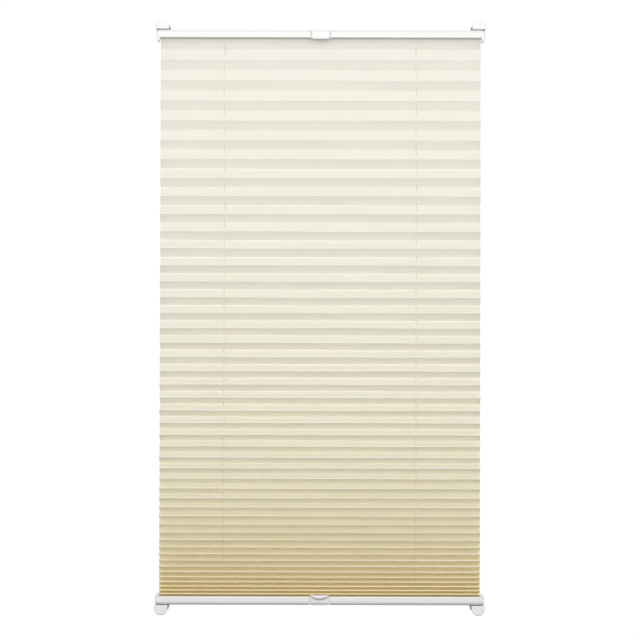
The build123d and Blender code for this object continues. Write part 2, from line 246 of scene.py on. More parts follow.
@dataclass(frozen=True)
class PleatedCrepe(Finish):
    """Polyester crepe with pressed pleats, woven and heat set.

    The matt yarn lets part of the light through, so that no side of a pleat is quite in shade.
    Where the folds lie close, the cloth gets a brighter, yellower colour, which is painted light: it
    stands for light that reaches the eye after many turns between the cream faces.
    """

    # Brighter, yellower colour of the closest folds: painted light for the light that bounces between the
    # faces.
    closed_colour: str = "FEF3CC"
    see_through: float = 0.55
    pressed_see_through: float = 0.04
    facet: float = FACET
    crease_width: float = 1.8 * MM
    slub: float = 0.9 * MM
    slub_length: float = 14 * MM
    slub_shade: float = 0.992
    sheen: float = 0.5

    def surface(self, tree: bpy.types.NodeTree) -> bpy.types.NodeSocket:
        """Makes the cloth's shader from its own UV map and its closeness attribute.

        Args:
            tree: The material's node tree.

        Returns:
            The shader's output.
        """
        flat = add_node(tree, "UVMap", {"uv_map": FLAT_MAP}).outputs[0]
        # Slubs are thicker stretches of the weft. The real ones are finer than shows from here.
        slubs = self.unevenness(tree, flat, (self.slub_length, self.slub), 1.0)
        crepe = self.unevenness(tree, flat, (self.grain, self.grain), 2.0)
        weave = add_node(tree, "Math", {"operation": "ADD"}, {0: slubs, 1: crepe}).outputs[0]
        bump = add_node(tree, "Bump", inputs={"Height": weave, "Distance": self.relief}).outputs[0]
        colour = self.tint(tree, slubs)
        front = add_node(
            tree,
            "BsdfPrincipled",
            inputs={
                "Base Color": colour,
                "Roughness": self.roughness,
                "IOR": self.ior,
                "Sheen Weight": self.sheen,
                "Sheen Roughness": 0.5,
                "Normal": bump,
            },
        ).outputs[0]
        through = add_node(tree, "BsdfTranslucent", inputs={"Color": colour, "Normal": bump}).outputs[0]
        share = self.share_through(tree, flat)
        return add_node(tree, "MixShader", inputs={"Fac": share, 1: front, 2: through}).outputs[0]

    def unevenness(
        self,
        tree: bpy.types.NodeTree,
        flat: bpy.types.NodeSocket,
        size: tuple[float, float],
        detail: float,
    ) -> bpy.types.NodeSocket:
        """Makes the unevenness of the yarn.

        Args:
            tree: The material's node tree.
            flat: The place on the flat cloth.
            size: How far one uneven spot reaches across the cloth and along it.
            detail: How many finer layers lie in it.

        Returns:
            The unevenness, mostly between 0.3 and 0.7.
        """
        scale = (1 / size[0], 1 / size[1], 1)
        place = add_node(tree, "Mapping", inputs={"Vector": flat, "Scale": scale}).outputs[0]
        return add_node(tree, "TexNoise", inputs={"Vector": place, "Scale": 1.0, "Detail": detail}).outputs[0]

    def tint(self, tree: bpy.types.NodeTree, slubs: bpy.types.NodeSocket) -> bpy.types.NodeSocket:
        """Makes the cloth's colour: brighter and yellower where the folds lie close, as painted light, with
        faint slubs.

        Args:
            tree: The material's node tree.
            slubs: The unevenness of the weft.

        Returns:
            The colour.
        """
        closeness = add_node(tree, "Attribute", {"attribute_name": CLOSENESS}).outputs["Fac"]
        # Where the folds lie close, the colour moves to the painted bounce light.
        tones = {"Factor": closeness, MIX_A: linear(self.colour), MIX_B: linear(self.closed_colour)}
        tone = add_node(tree, "Mix", {"data_type": "RGBA"}, tones).outputs[MIX_RESULT]
        shades = {"Value": slubs, "From Min": 0.3, "From Max": 0.7, "To Min": self.slub_shade}
        shade = add_node(tree, "MapRange", inputs=shades).outputs[0]
        shaded = {"data_type": "RGBA", "blend_type": "MULTIPLY"}
        return add_node(tree, "Mix", shaded, {"Factor": 1.0, MIX_A: tone, MIX_B: shade}).outputs[MIX_RESULT]

    def share_through(self, tree: bpy.types.NodeTree, flat: bpy.types.NodeSocket) -> bpy.types.NodeSocket:
        """Makes the share of light that comes through.

        The yarn is pressed tight along each crease, where next to no light does.

        Args:
            tree: The material's node tree.
            flat: The place on the flat cloth.

        Returns:
            The share.
        """
        along = add_node(tree, "SeparateXYZ", inputs={"Vector": flat}).outputs["Y"]
        spaced = add_node(tree, "Math", {"operation": "PINGPONG"}, {0: along, 1: self.facet / 2}).outputs[0]
        shares = {
            "Value": spaced,
            "From Max": self.crease_width,
            "To Min": self.pressed_see_through,
            "To Max": self.see_through,
        }
        return add_node(tree, "MapRange", inputs=shares).outputs[0]


@dataclass(frozen=True)
class BraidedCord(Finish):
    """Braided polyester cord: yarns that cross in two slants give it a fine knotty face."""

    # The darker colour between the yarns is painted shade.
    gap_shade_colour: str = "CDB9A0"
    yarn_pitch: float = 1.2 * MM
    slant: float = math.radians(55)

    def surface(self, tree: bpy.types.NodeTree) -> bpy.types.NodeSocket:
        """Makes the cord's shader, with two slants of yarn crossing along it.

        Args:
            tree: The material's node tree.

        Returns:
            The shader's output.
        """
        place = add_node(tree, "TexCoord").outputs["Object"]
        scale = 1 / (self.yarn_pitch * math.pi)
        slants = []
        for turn in (-self.slant, self.slant):
            turned = add_node(tree, "Mapping", inputs={"Vector": place, "Rotation": (0, turn, 0)}).outputs[0]
            yarns = {"Vector": turned, "Scale": scale}
            slants.append(add_node(tree, "TexWave", {"wave_profile": "SIN"}, yarns).outputs[1])
        braid = add_node(tree, "Math", {"operation": "MAXIMUM"}, {0: slants[0], 1: slants[1]}).outputs[0]
        # The gaps between the crossing yarns take the darker colour: painted shade.
        tones = {"Factor": braid, MIX_A: linear(self.gap_shade_colour), MIX_B: linear(self.colour)}
        colour = add_node(tree, "Mix", {"data_type": "RGBA"}, tones).outputs[MIX_RESULT]
        bump = add_node(tree, "Bump", inputs={"Height": braid, "Distance": self.relief}).outputs[0]
        shader = add_node(
            tree,
            "BsdfPrincipled",
            inputs={"Base Color": colour, "Roughness": self.roughness, "IOR": self.ior, "Normal": bump},
        )
        return shader.outputs[0]


# Polyester crepe, woven and pleated hot: matt, softly translucent, cream; painted bounce light in close
# folds.
CREPE = PleatedCrepe("cream_pleated_crepe", "F2F1EB", 0.85, 0.45 * MM, 0.03 * MM, ior=1.45)
# Powder coat on extruded aluminium: white, satin, with a faint orange peel along the extrusion.
POWDER_COAT = Finish("white_powder_coat", "E2E2E1", 0.34, 0.9 * MM, 0.006 * MM, stretch=(4.0, 1.0, 1.0))
# Moulded ABS: white, a little softer in gloss than the rail, with a fine sparked mould texture.
MOULDED_ABS = Finish("white_moulded_abs", "E4E4E3", 0.38, 0.35 * MM, 0.006 * MM, ior=1.53)
# Extruded rigid PVC strip: plain, with faint lines along its length.
PVC_STRIP = Finish("white_rigid_pvc", "E6E6E2", 0.45, 0.5 * MM, 0.008 * MM, stretch=(30.0, 1.0, 1.0))
# Moulded acetal: slippery, denser white, almost without texture.
ACETAL = Finish("white_acetal", "EEEEEC", 0.28, 0.6 * MM, 0.003 * MM, ior=1.48)
# Zinc plated steel: grey, passivated to a faintly cloudy shine.
ZINC_PLATE = Finish(
    "zinc_plated_steel", "B9BCC1", 0.32, 0.8 * MM, 0.004 * MM, metallic=1.0, roughness_spread=0.1
)
# Nickel plated ferrule, crimped: brighter than the zinc.
NICKEL = Finish("nickel_plated_ferrule", "C8C5BE", 0.24, 0.5 * MM, 0.003 * MM, metallic=1.0)
# Grey moulded rubber: matt, with a dusty bloom.
RUBBER = Finish("grey_moulded_rubber", "8A8B8D", 0.8, 0.5 * MM, 0.02 * MM, ior=1.52, roughness_spread=0.1)
# Polyester cord, braided round: matt and beige, with painted shade darkening the gaps where its yarns cross.
CORD = BraidedCord("beige_braided_cord", "EADCC8", 0.75, 0.5 * MM, 0.08 * MM)
# Seamless studio paper under the object, not part of it: matt, pale, with hardly any tooth.
PAPER = Finish("studio_paper", "E4E4E2", 0.9, 2.0 * MM, 0.05 * MM)


class MaterialShelf:
    """Builds each finish once and hands out its material."""

    def __init__(self) -> None:
        """Starts with nothing built."""
        self._built: dict[str, bpy.types.Material] = {}

    def get(self, finish: Finish) -> bpy.types.Material:
        """Finds the material of a finish, and builds it the first time.

        Args:
            finish: The finish.

        Returns:
            Its material.
        """
        if finish.name not in self._built:
            self._built[finish.name] = finish.build()
        return self._built[finish.name]


SHELF = MaterialShelf()


# --- Pieces ------------------------------------------------------------------------------
def make_piece(name: str, bm: bmesh.types.BMesh, finish: Finish) -> bpy.types.Object:
    """Turns a finished bmesh into a piece of the object.

    Args:
        name: The piece's name.
        bm: Its shape, in place. It is freed.
        finish: Its finish.

    Returns:
        The new object.
    """
    for edge in bm.edges:
        edge.smooth = edge.calc_face_angle(math.pi) < SMOOTH_ANGLE
    for face in bm.faces:
        face.smooth = True
    mesh = bpy.data.meshes.new(name)
    bm.to_mesh(mesh)
    bm.free()
    mesh.materials.append(SHELF.get(finish))
    piece = bpy.data.objects.new(name, mesh)
    bpy.context.scene.collection.objects.link(piece)
    LOG.info("made %s with %d faces in %s", name, len(mesh.polygons), finish.name)
    return piece


def dress_node(node: str, finish: Finish) -> None:
    """Gives a CAD node its finish.

    Args:
        node: The node's name.
        finish: Its finish.
    """
    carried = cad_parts[node]
    for slot in carried.material_slots:
        slot.material = SHELF.get(finish)
    LOG.info("dressed %s in %s", node, finish.name)


def inner_face(node: str, level: Level) -> float:
    """Finds the height of the face of a node that looks at the middle of the blind.

    Args:
        node: The node's name.
        level: The end of the blind that it is at.

    Returns:
        The face's height.
    """
    low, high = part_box(node)
    return low.z if level is Level.TOP else high.z


@dataclass(frozen=True)
class TabLine:
    """Where one end of the cloth runs inside its rail: back to the slot, through it, and forward.

    Each place is on the middle of the cloth's thickness.
    """

    slot_y: float
    tip_y: float
    lip_z: float


def cut_edge(node: str) -> list[tuple[float, float]]:
    """Reads the corners of the folded sheet's left edge from its CAD node.

    Args:
        node: The sheet's node.

    Returns:
        Each corner's Y and Z.
    """
    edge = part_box(node)[0].x
    corners = [v.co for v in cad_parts[node].data.vertices if v.co.x < edge + SAME_PLACE]
    return [(corner.y, corner.z) for corner in corners]


def read_tab(node: str, level: Level, inner_z: float, thickness: float) -> TabLine:
    """Reads how one end of the sheet is held in its rail.

    Args:
        node: The sheet's node.
        level: The rail.
        inner_z: The rail's face on the side of the cloth.
        thickness: The cloth's thickness.

    Returns:
        The line of the held end.
    """
    inside = [(y, z) for y, z in cut_edge(node) if level.value * (z - inner_z) > 0]
    lip_z = level.value * (max(level.value * z for _, z in inside) - thickness / 2)
    return TabLine(max(y for y, _ in inside) - thickness / 2, min(y for y, _ in inside), lip_z)


def read_creases(node: str, low: float, high: float, slot_y: float) -> list[Vector]:
    """Reads the creases of the folded sheet from its CAD node.

    The cut edge has two corners at each crease, one on each face of the cloth, and the crease is
    halfway between them. The bends where the sheet turns into the rails aren't creases.

    Args:
        node: The sheet's node.
        low: Lowest height that counts.
        high: Highest height that counts.
        slot_y: Where the sheet turns into the rails.

    Returns:
        The creases from the top down, on the middle of the cloth's thickness.
    """
    corners = {(y, z) for y, z in cut_edge(node) if low < z < high and abs(y - slot_y) > SAME_CREASE / 2}
    groups: list[list[tuple[float, float]]] = []
    for y, z in sorted(corners, key=lambda corner: -corner[1]):
        if groups and groups[-1][0][1] - z < SAME_CREASE:
            groups[-1].append((y, z))
        else:
            groups.append([(y, z)])
    return [Vector((0, sum(y for y, _ in g) / len(g), sum(z for _, z in g) / len(g))) for g in groups]


@dataclass
class PleatedSheet:
    """The folded cloth in two halves that meet at the crease nearest the middle of the blind.

    Each half is cut flat, punched for the cords, folded along its creases and hung with the
    slight ripple of real cloth. The tab at its end is held in the rail and moves with it.
    """

    facet: float = FACET
    thickness: float = 0.3 * MM
    # About how far apart points are across the cloth, and their distances from a fold along it.
    column: float = 11 * MM
    fold_rows: tuple[float, ...] = (0.35 * MM, 1.0 * MM, 2.4 * MM)
    # How far a fold's round sets its crease back, and how the cloth leaves it: see set_drop.
    fold_round: float = 0.2 * MM
    set_slope: float = 0.95
    set_length: float = 3.4 * MM
    # Each hole, and how far its cell of the grid reaches to each side.
    punch_radius: float = 1.6 * MM
    punch_cell: float = 3.3 * MM
    punch_sides: int = 16
    # How far the cloth strays in depth and height, how far sideways, and how far from its two
    # ends that fades out.
    ripple: float = 0.3 * MM
    skew: float = 0.35 * MM
    fade: float = 40 * MM
    # Each wave in height has a strength, a turn per metre across and a turn per fold, in radians.
    # The wave in depth has the two turns, and the sideways sway has two turns per fold.
    height_waves: tuple[tuple[float, float, float], ...] = (
        (1.0, 11, 0.83),
        (0.6, 29, -1.37),
        (0.5, 5.3, 2.1),
    )
    depth_wave: tuple[float, float] = (17, 1.9)
    sway_turns: tuple[float, float] = (1.3, 0.37)
    # Read from the CAD: the cloth's box, the cords' place, the creases and the middle one of them.
    low: Vector = field(init=False)
    high: Vector = field(init=False)
    cord_x: float = field(init=False)
    creases: list[Vector] = field(init=False)
    middle: int = field(init=False)

    def build(self) -> None:
        """Reads the sheet's lines from the CAD, then makes and hangs both halves."""
        inner = {level: inner_face(f"{level.word}_rail", level) for level in Level}
        self.low, self.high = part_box(CLOTH_NODE)
        self.cord_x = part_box(LEFT_CORD_NODE)[1].x - CORD_RADIUS
        tabs = {level: read_tab(CLOTH_NODE, level, inner[level], self.thickness) for level in Level}
        slot_y = tabs[Level.TOP].slot_y
        self.creases = read_creases(CLOTH_NODE, inner[Level.BOTTOM], inner[Level.TOP], slot_y)
        self.middle = min(range(len(self.creases)), key=lambda i: abs(self.creases[i].z))
        LOG.info("%d creases, halves meet at %.4f m", len(self.creases), self.creases[self.middle].z)
        for level in Level:
            self.hang(level, self.half(level), self.tab(level, tabs[level]))

    def hang(self, level: Level, half: bpy.types.Object, tab: bpy.types.Object) -> None:
        """Ties a half and its tab to what moves them.

        Args:
            level: The rail that holds them.
            half: The folded half.
            tab: Its end inside the rail.
        """
        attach(half, CLAMPS_BODY)
        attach(tab, level.body)
        for piece in (half, tab):
            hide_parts(CLOTH_NODE)
        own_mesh(half)

    def span(self, level: Level) -> tuple[int, int]:
        """Gives the first and the last crease of a half, from the top down."""
        return (0, self.middle) if level is Level.TOP else (self.middle, len(self.creases) - 1)

    def end_crease(self, level: Level) -> Vector:
        """Gives the crease nearest a rail."""
        return self.creases[0 if level is Level.TOP else -1]

    def flat_rows(self, first: int, last: int) -> list[float]:
        """Lists the distances along the flat cloth at which it gets a line of points.

        Args:
            first: The crease that the stretch starts at.
            last: The crease that it ends at.

        Returns:
            The distances, without the stretch's two ends.
        """
        near = [*self.fold_rows, self.facet / 2 - self.punch_cell]
        steps = [0.0, *near, *(self.facet - step for step in reversed(near))]
        rows = [i * self.facet + step for i in range(first, last) for step in steps]
        return rows[1:]

    def flat_columns(self) -> list[float]:
        """Lists the places across the cloth at which it gets a line of points.

        Returns:
            The places, without the cloth's two edges.
        """
        stops = [self.low.x]
        for cord in (-self.cord_x, self.cord_x):
            stops += [cord - self.punch_cell, cord + self.punch_cell]
        stops.append(self.high.x)
        columns = []
        for start, end in zip(stops, stops[1:]):
            parts = max(1, round((end - start) / self.column))
            columns += [start + (end - start) * n / parts for n in range(1, parts + 1)]
        return columns[:-1]

    def half(self, level: Level) -> bpy.types.Object:
        """Cuts, punches and folds one half.

        Args:
            level: The rail it hangs from or stands on.

        Returns:
            The half as a piece, with its thickness.
        """
        first, last = self.span(level)
        bm = self.cut(first * self.facet, last * self.facet, self.flat_rows(first, last))
        self.punch(bm, [(facet + 0.5) * self.facet for facet in range(first, last)])
        closeness = self.mark(bm)
        for vert in bm.verts:
            vert[closeness], vert.co = self.folded(vert.co.x, vert.co.y)
        return self.finish(f"{level.word}_cloth", bm)

    def cut(self, start: float, end: float, rows: list[float]) -> bmesh.types.BMesh:
        """Cuts a stretch of the flat cloth, with X across it and Y down it.

        Args:
            start: Where it starts along the cloth.
            end: Where it ends.
            rows: The distances in between that get a line of points.

        Returns:
            The flat stretch.
        """
        bm = bmesh.new()
        place = Matrix.Translation(((self.low.x + self.high.x) / 2, (start + end) / 2, 0))
        size = Matrix.Diagonal((self.high.x - self.low.x, end - start, 1, 1))
        bmesh.ops.create_grid(bm, x_segments=1, y_segments=1, size=0.5, matrix=place @ size)
        lines = [((0, row, 0), (0, 1, 0)) for row in rows]
        lines += [((column, 0, 0), (1, 0, 0)) for column in self.flat_columns()]
        for point, way in lines:
            everything = bm.verts[:] + bm.edges[:] + bm.faces[:]
            bmesh.ops.bisect_plane(bm, geom=everything, plane_co=point, plane_no=way)
        return bm

    def punch(self, bm: bmesh.types.BMesh, rows: list[float]) -> None:
        """Punches a round hole for each cord.

        Args:
            bm: The flat stretch, with a square cell round each hole to come.
            rows: How far along the cloth the holes lie.
        """
        centres = {}
        for face in bm.faces:
            centre = face.calc_center_median()
            row = rows[min(bisect_left(rows, centre.y - SAME_PLACE), len(rows) - 1)] if rows else math.inf
            if abs(centre.y - row) < SAME_PLACE and abs(abs(centre.x) - self.cord_x) < SAME_PLACE:
                centres[face] = centre
        cells = [(centre, face.edges[:]) for face, centre in centres.items()]
        bmesh.ops.delete(bm, geom=list(centres), context="FACES_ONLY")
        for centre, cell in cells:
            ring = bmesh.ops.create_circle(
                bm,
                cap_ends=False,
                radius=self.punch_radius,
                segments=self.punch_sides,
                matrix=Matrix.Translation(centre),
            )["verts"]
            rim = list({edge for vert in ring for edge in vert.link_edges})
            bmesh.ops.bridge_loops(bm, edges=rim + cell)

    def mark(self, bm: bmesh.types.BMesh) -> bmesh.types.BMLayerItem:
        """Keeps each point's flat place as a UV map and adds the layer for closeness.

        Args:
            bm: The flat stretch.

        Returns:
            The layer for closeness.
        """
        bmesh.ops.recalc_face_normals(bm, faces=bm.faces)
        flat = bm.loops.layers.uv.new(FLAT_MAP)
        for face in bm.faces:
            for loop in face.loops:
                loop[flat].uv = loop.vert.co.xy
        return bm.verts.layers.float.new(CLOSENESS)

    def finish(self, name: str, bm: bmesh.types.BMesh) -> bpy.types.Object:
        """Turns a folded stretch into a piece with the cloth's thickness, half on each side.

        Args:
            name: The piece's name.
            bm: The folded stretch. It is freed.

        Returns:
            The piece.
        """
        bmesh.ops.recalc_face_normals(bm, faces=bm.faces)
        piece = make_piece(name, bm, CREPE)
        wall = piece.modifiers.new("thickness", "SOLIDIFY")
        wall.thickness = self.thickness
        wall.offset = 0.0
        return piece

    def folded(self, x: float, along: float) -> tuple[float, Vector]:
        """Finds where a point of the flat cloth hangs.

        Args:
            x: Its place across the cloth.
            along: Its distance from the first crease, along the cloth.

        Returns:
            How close the folds lie there, from 0 to 1, and the point's place.
        """
        index = min(int(along / self.facet), len(self.creases) - 2)
        start, end = self.creases[index], self.creases[index + 1]
        from_start = along - index * self.facet
        from_end = self.facet - from_start
        way, from_fold = (1, from_start) if from_start < from_end else (-1, from_end)
        opening = (start.z - end.z) / self.facet
        place = start.lerp(end, from_start / self.facet)
        place.z -= way * self.set_drop(opening, from_fold)
        if from_fold < self.fold_rows[0] / 2:
            place.y += way * math.copysign(self.fold_round, end.y - start.y)
        across, depth, height = self.stray(x, along)
        place.x = x + across
        place.y += depth
        place.z += height * opening
        most = self.facet / (self.creases[-2].z - self.creases[-1].z) - 1
        return min(1.0, (1 / opening - 1) / most), place

    def stray(self, x: float, along: float) -> tuple[float, float, float]:
        """Finds how far a point of the cloth strays from its folds, less and less towards the rails.

        Args:
            x: Its place across the cloth.
            along: Its distance from the first crease, along the cloth.

        Returns:
            How far it strays sideways, in depth, and in height were the cloth quite open.
        """
        length = (len(self.creases) - 1) * self.facet
        calm = min(1.0, min(along, length - along) / self.fade)
        # A smooth step, so that the cloth has no kink where it calms.
        calm *= calm * (3 - 2 * calm)
        fold = along / self.facet
        across, down = self.depth_wave
        depth = calm * self.ripple * math.sin(across * x + down * fold)
        wave = 0.0
        for strength, across, down in self.height_waves:
            wave += strength * math.sin(across * x + down * fold)
        sway, swell = self.sway_turns
        sideways = calm * self.skew * math.sin(sway * fold) * math.cos(swell * fold)
        return sideways, depth, calm * self.ripple * wave

    def set_drop(self, opening: float, from_fold: float) -> float:
        """Finds how much further from a fold the cloth has dropped than a flat facet would have.

        The folds are heat set at one angle, so that close folds puff out beside the crease and
        then lie flat on each other.

        Args:
            opening: The facet's drop as a share of its length.
            from_fold: The distance from the fold along the cloth.

        Returns:
            The extra drop, which is none at the fold and halfway down the facet.
        """
        half = self.facet / 2
        spare = (self.set_slope - opening) * self.set_length
        here = 1 - math.exp(-from_fold / self.set_length)
        halfway = 1 - math.exp(-half / self.set_length)
        return spare * (here - halfway * from_fold / half)

    def tab(self, level: Level, line: TabLine) -> bpy.types.Object:
        """Folds the end of the cloth through the rail's slot and over its front lip.

        Args:
            level: The rail that holds it.
            line: Where it runs.

        Returns:
            The tab as a piece.
        """
        crease = self.end_crease(level)
        turn_z = level.value * self.creases[0].z
        path = [
            (crease.y, crease.z),
            (line.slot_y, turn_z),
            (line.slot_y, line.lip_z),
            (line.tip_y, line.lip_z),
        ]
        corners = [0.0]
        for (y0, z0), (y1, z1) in zip(path, path[1:]):
            corners.append(corners[-1] + math.hypot(y1 - y0, z1 - z0))
        cord_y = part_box(LEFT_CORD_NODE)[1].y - CORD_RADIUS
        hole = corners[1] * (cord_y - crease.y) / (line.slot_y - crease.y)
        holes = [hole] if 0 < hole < corners[1] else []
        rows = [row + step for row in holes for step in (-self.punch_cell, self.punch_cell)] + corners[1:-1]
        bm = self.cut(0, corners[-1], rows)
        self.punch(bm, holes)
        closeness = self.mark(bm)
        for vert in bm.verts:
            stretch = min(bisect_left(corners, vert.co.y), len(corners) - 1) or 1
            share = (vert.co.y - corners[stretch - 1]) / (corners[stretch] - corners[stretch - 1])
            (y0, z0), (y1, z1) = path[stretch - 1], path[stretch]
            vert.co = (vert.co.x, y0 + (y1 - y0) * share, z0 + (z1 - z0) * share)
            # The bottom tab takes the close folds' colour in full: painted bounce light.
            vert[closeness] = 0.0 if level is Level.TOP else 1.0
        return self.finish(f"{level.word}_cloth_tab", bm)


@dataclass
class CordTube:
    """A round tube drawn out ring by ring."""

    radius: float
    sides: int = 10
    bend_steps: int = 8
    bm: bmesh.types.BMesh = field(init=False)
    end: Vector = field(init=False)
    direction: Vector = field(init=False)
    first: list[bmesh.types.BMEdge] = field(init=False)
    ring: list[bmesh.types.BMEdge] = field(init=False)

    def start(self, place: Vector, direction: Vector) -> None:
        """Begins the tube with a ring across its direction.

        Args:
            place: The ring's centre.
            direction: The way the tube goes.
        """
        self.bm = bmesh.new()
        self.end, self.direction = place.copy(), direction.normalized()
        turn = self.direction.to_track_quat("Z", "Y").to_matrix().to_4x4()
        made = bmesh.ops.create_circle(
            self.bm,
            cap_ends=False,
            radius=self.radius,
            segments=self.sides,
            matrix=Matrix.Translation(place) @ turn,
        )
        self.ring = list({edge for vert in made["verts"] for edge in vert.link_edges})
        self.first = self.ring[:]

    def straight(self, length: float) -> None:
        """Draws the tube straight on.

        Args:
            length: How far.
        """
        made = bmesh.ops.extrude_edge_only(self.bm, edges=self.ring)["geom"]
        verts = [v for v in made if isinstance(v, bmesh.types.BMVert)]
        bmesh.ops.translate(self.bm, verts=verts, vec=self.direction * length)
        edges = [e for e in made if isinstance(e, bmesh.types.BMEdge)]
        self.ring = [edge for edge in edges if all(vert in verts for vert in edge.verts)]
        self.end = self.end + self.direction * length

    def bend(self, towards: Vector, radius: float) -> None:
        """Bends the tube round a quarter turn.

        Args:
            towards: Its new direction, square to the old one.
            radius: The bend's radius.
        """
        towards = towards.normalized()
        centre = self.end + towards * radius
        made = bmesh.ops.spin(
            self.bm,
            geom=self.ring,
            cent=centre,
            axis=self.direction.cross(towards),
            dvec=(0, 0, 0),
            angle=math.pi / 2,
            steps=self.bend_steps,
            use_merge=False,
        )["geom_last"]
        self.ring = [e for e in made if isinstance(e, bmesh.types.BMEdge)]
        self.end = centre + self.direction * radius
        self.direction = towards

    def close(self) -> bmesh.types.BMesh:
        """Closes both ends.

        Returns:
            The finished shape.
        """
        for ring in (self.first, self.ring):
            bmesh.ops.edgeloop_fill(self.bm, edges=ring)
        bmesh.ops.recalc_face_normals(self.bm, faces=self.bm.faces)
        return self.bm


@dataclass
class TensionCords:
    """The two cords. Each runs from its shoe through the end cap, along the rail and down the cloth.

    A cord's strand hangs a little slack between the punched holes, most of all near the top.
    """

    sheet: PleatedSheet
    radius: float = CORD_RADIUS
    bend: float = 4 * MM
    run_height: float = 8.5 * MM
    # How far past its shoe a lead stays still when its rail slides.
    shoe_clearance: float = 0.2 * MM
    slack_top: float = 3.4 * MM
    slack_bottom: float = 0.3 * MM
    # How fast the slack grows above the middle of the blind.
    slack_power: float = 1.5
    # The turn per crease of the strand's lean and of the swell in it, in radians, and the swell's
    # share of the lean.
    lean_turn: float = 2.4
    swell_turn: float = 0.9
    swell_share: float = 0.45
    # The turn per crease of the strand's rise at it, in radians, and the rise as a share of a
    # facet's drop.
    rise_turn: float = 1.7
    rise_share: float = 0.12

    def build(self) -> None:
        """Makes every stretch of both cords."""
        for side in Side:
            node = f"{side.word}_tension_cord"
            low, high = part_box(node)
            left = (low.x + self.radius, low.y + self.radius)
            right = (high.x - self.radius, high.y - self.radius)
            shoe_line, cloth_line = (left, right) if side is Side.LEFT else (right, left)
            for level in Level:
                run_z = inner_face(f"{level.word}_rail", level) + level.value * self.run_height
                tip_z = high.z if level is Level.TOP else low.z
                entry = Vector((*shoe_line, tip_z))
                strand = Vector((*cloth_line, run_z))
                pieces = [
                    self.lead(side, level, entry, run_z),
                    self.run(side, level, entry, strand),
                    self.strand(side, level, strand),
                ]
                for piece in pieces:
                    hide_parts(node)

    def lead(self, side: Side, level: Level, entry: Vector, run_z: float) -> bpy.types.Object:
        """Makes the stretch from the bead in the shoe to the bend in the end cap.

        Args:
            side: The side of the shoe.
            level: The rail that the end cap is on.
            entry: The cord's tip in the bead.
            run_z: The height of the cord's run in the rail.

        Returns:
            The lead as a piece.
        """
        way = level.value
        length = abs(entry.z - run_z) - self.bend
        shoe_z = inner_face(f"{level.word}_{side.word}_tension_shoe", level)
        still = abs(entry.z - shoe_z) + self.shoe_clearance
        tube = CordTube(self.radius)
        tube.start(entry, Vector((0, 0, -way)))
        tube.straight(still)
        tube.straight(length - still)
        piece = make_piece(f"{level.word}_{side.word}_cord_lead", tube.close(), CORD)
        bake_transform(piece)
        return piece

    def run(self, side: Side, level: Level, entry: Vector, strand: Vector) -> bpy.types.Object:
        """Makes the stretch inside the rail, with its bend at each end.

        Args:
            side: The side of the cord's shoes.
            level: The rail.
            entry: The cord's tip in the bead.
            strand: Where the cord's line turns down to the cloth.

        Returns:
            The run as a piece.
        """
        way = level.value
        down = Vector((0, 0, -way))
        across = Vector((strand.x - entry.x, strand.y - entry.y, 0))
        tube = CordTube(self.radius)
        tube.start(Vector((entry.x, entry.y, strand.z + way * self.bend)), down)
        tube.bend(across, self.bend)
        tube.straight(across.length - 2 * self.bend)
        tube.bend(down, self.bend)
        piece = make_piece(f"{level.word}_{side.word}_cord_run", tube.close(), CORD)
        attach(piece, level.body)
        return piece

    def strand(self, side: Side, level: Level, turn: Vector) -> bpy.types.Object:
        """Makes one half of the strand that goes through the cloth.

        Args:
            side: The side of the cord's shoes.
            level: The rail that this half meets.
            turn: Where the cord's line turns in the rail.

        Returns:
            The strand as a piece.
        """
        start_z = turn.z - level.value * self.bend
        middle_z = self.sheet.creases[self.sheet.middle].z
        line = [(turn.x, start_z), *self.through_cloth(side, level, turn), (turn.x, middle_z)]
        bm = self.drawn([Vector((x, turn.y, z)) for x, z in line])
        piece = make_piece(f"{level.word}_{side.word}_cord_strand", bm, CORD)
        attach(piece, CLAMPS_BODY)
        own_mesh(piece)
        return piece

    def through_cloth(self, side: Side, level: Level, turn: Vector) -> list[tuple[float, float]]:
        """Lists the points of a strand at the holes in the cloth and at the creases between them.

        Args:
            side: The side of the cord's shoes.
            level: The rail that this half of the strand meets.
            turn: Where the cord's line turns in the rail.

        Returns:
            Each point's X and Z, from the rail to the middle of the blind.
        """
        creases = self.sheet.creases
        facets = range(*self.sheet.span(level))[:: level.value]
        points = []
        for index in facets:
            start, end = creases[index], creases[index + 1]
            hole = start.lerp(end, (turn.y - start.y) / (end.y - start.y))
            points.append((turn.x, hole.z))
            if index != facets[-1]:
                crease = creases[index + 1 if level is Level.TOP else index]
                height = (crease.z - creases[-1].z) / (creases[0].z - creases[-1].z)
                rise = self.rise_share * abs(start.z - end.z) * math.sin(self.rise_turn * index + side.value)
                points.append((turn.x + self.lean(side, index, height), crease.z + rise))
        return points

    def lean(self, side: Side, index: int, height: float) -> float:
        """Finds how far a strand leans to the right at a crease.

        Args:
            side: The side of the cord's shoes.
            index: The number of the facet that comes before the crease.
            height: The crease's height, from 0 at the bottom rail to 1 at the top rail.

        Returns:
            The lean.
        """
        loose = max(0.0, 2 * height - 1) ** self.slack_power
        slack = self.slack_bottom + (self.slack_top - self.slack_bottom) * loose
        swell = 1 - self.swell_share + self.swell_share * math.sin(self.swell_turn * index)
        return slack * (math.sin(self.lean_turn * index + side.value) * swell)

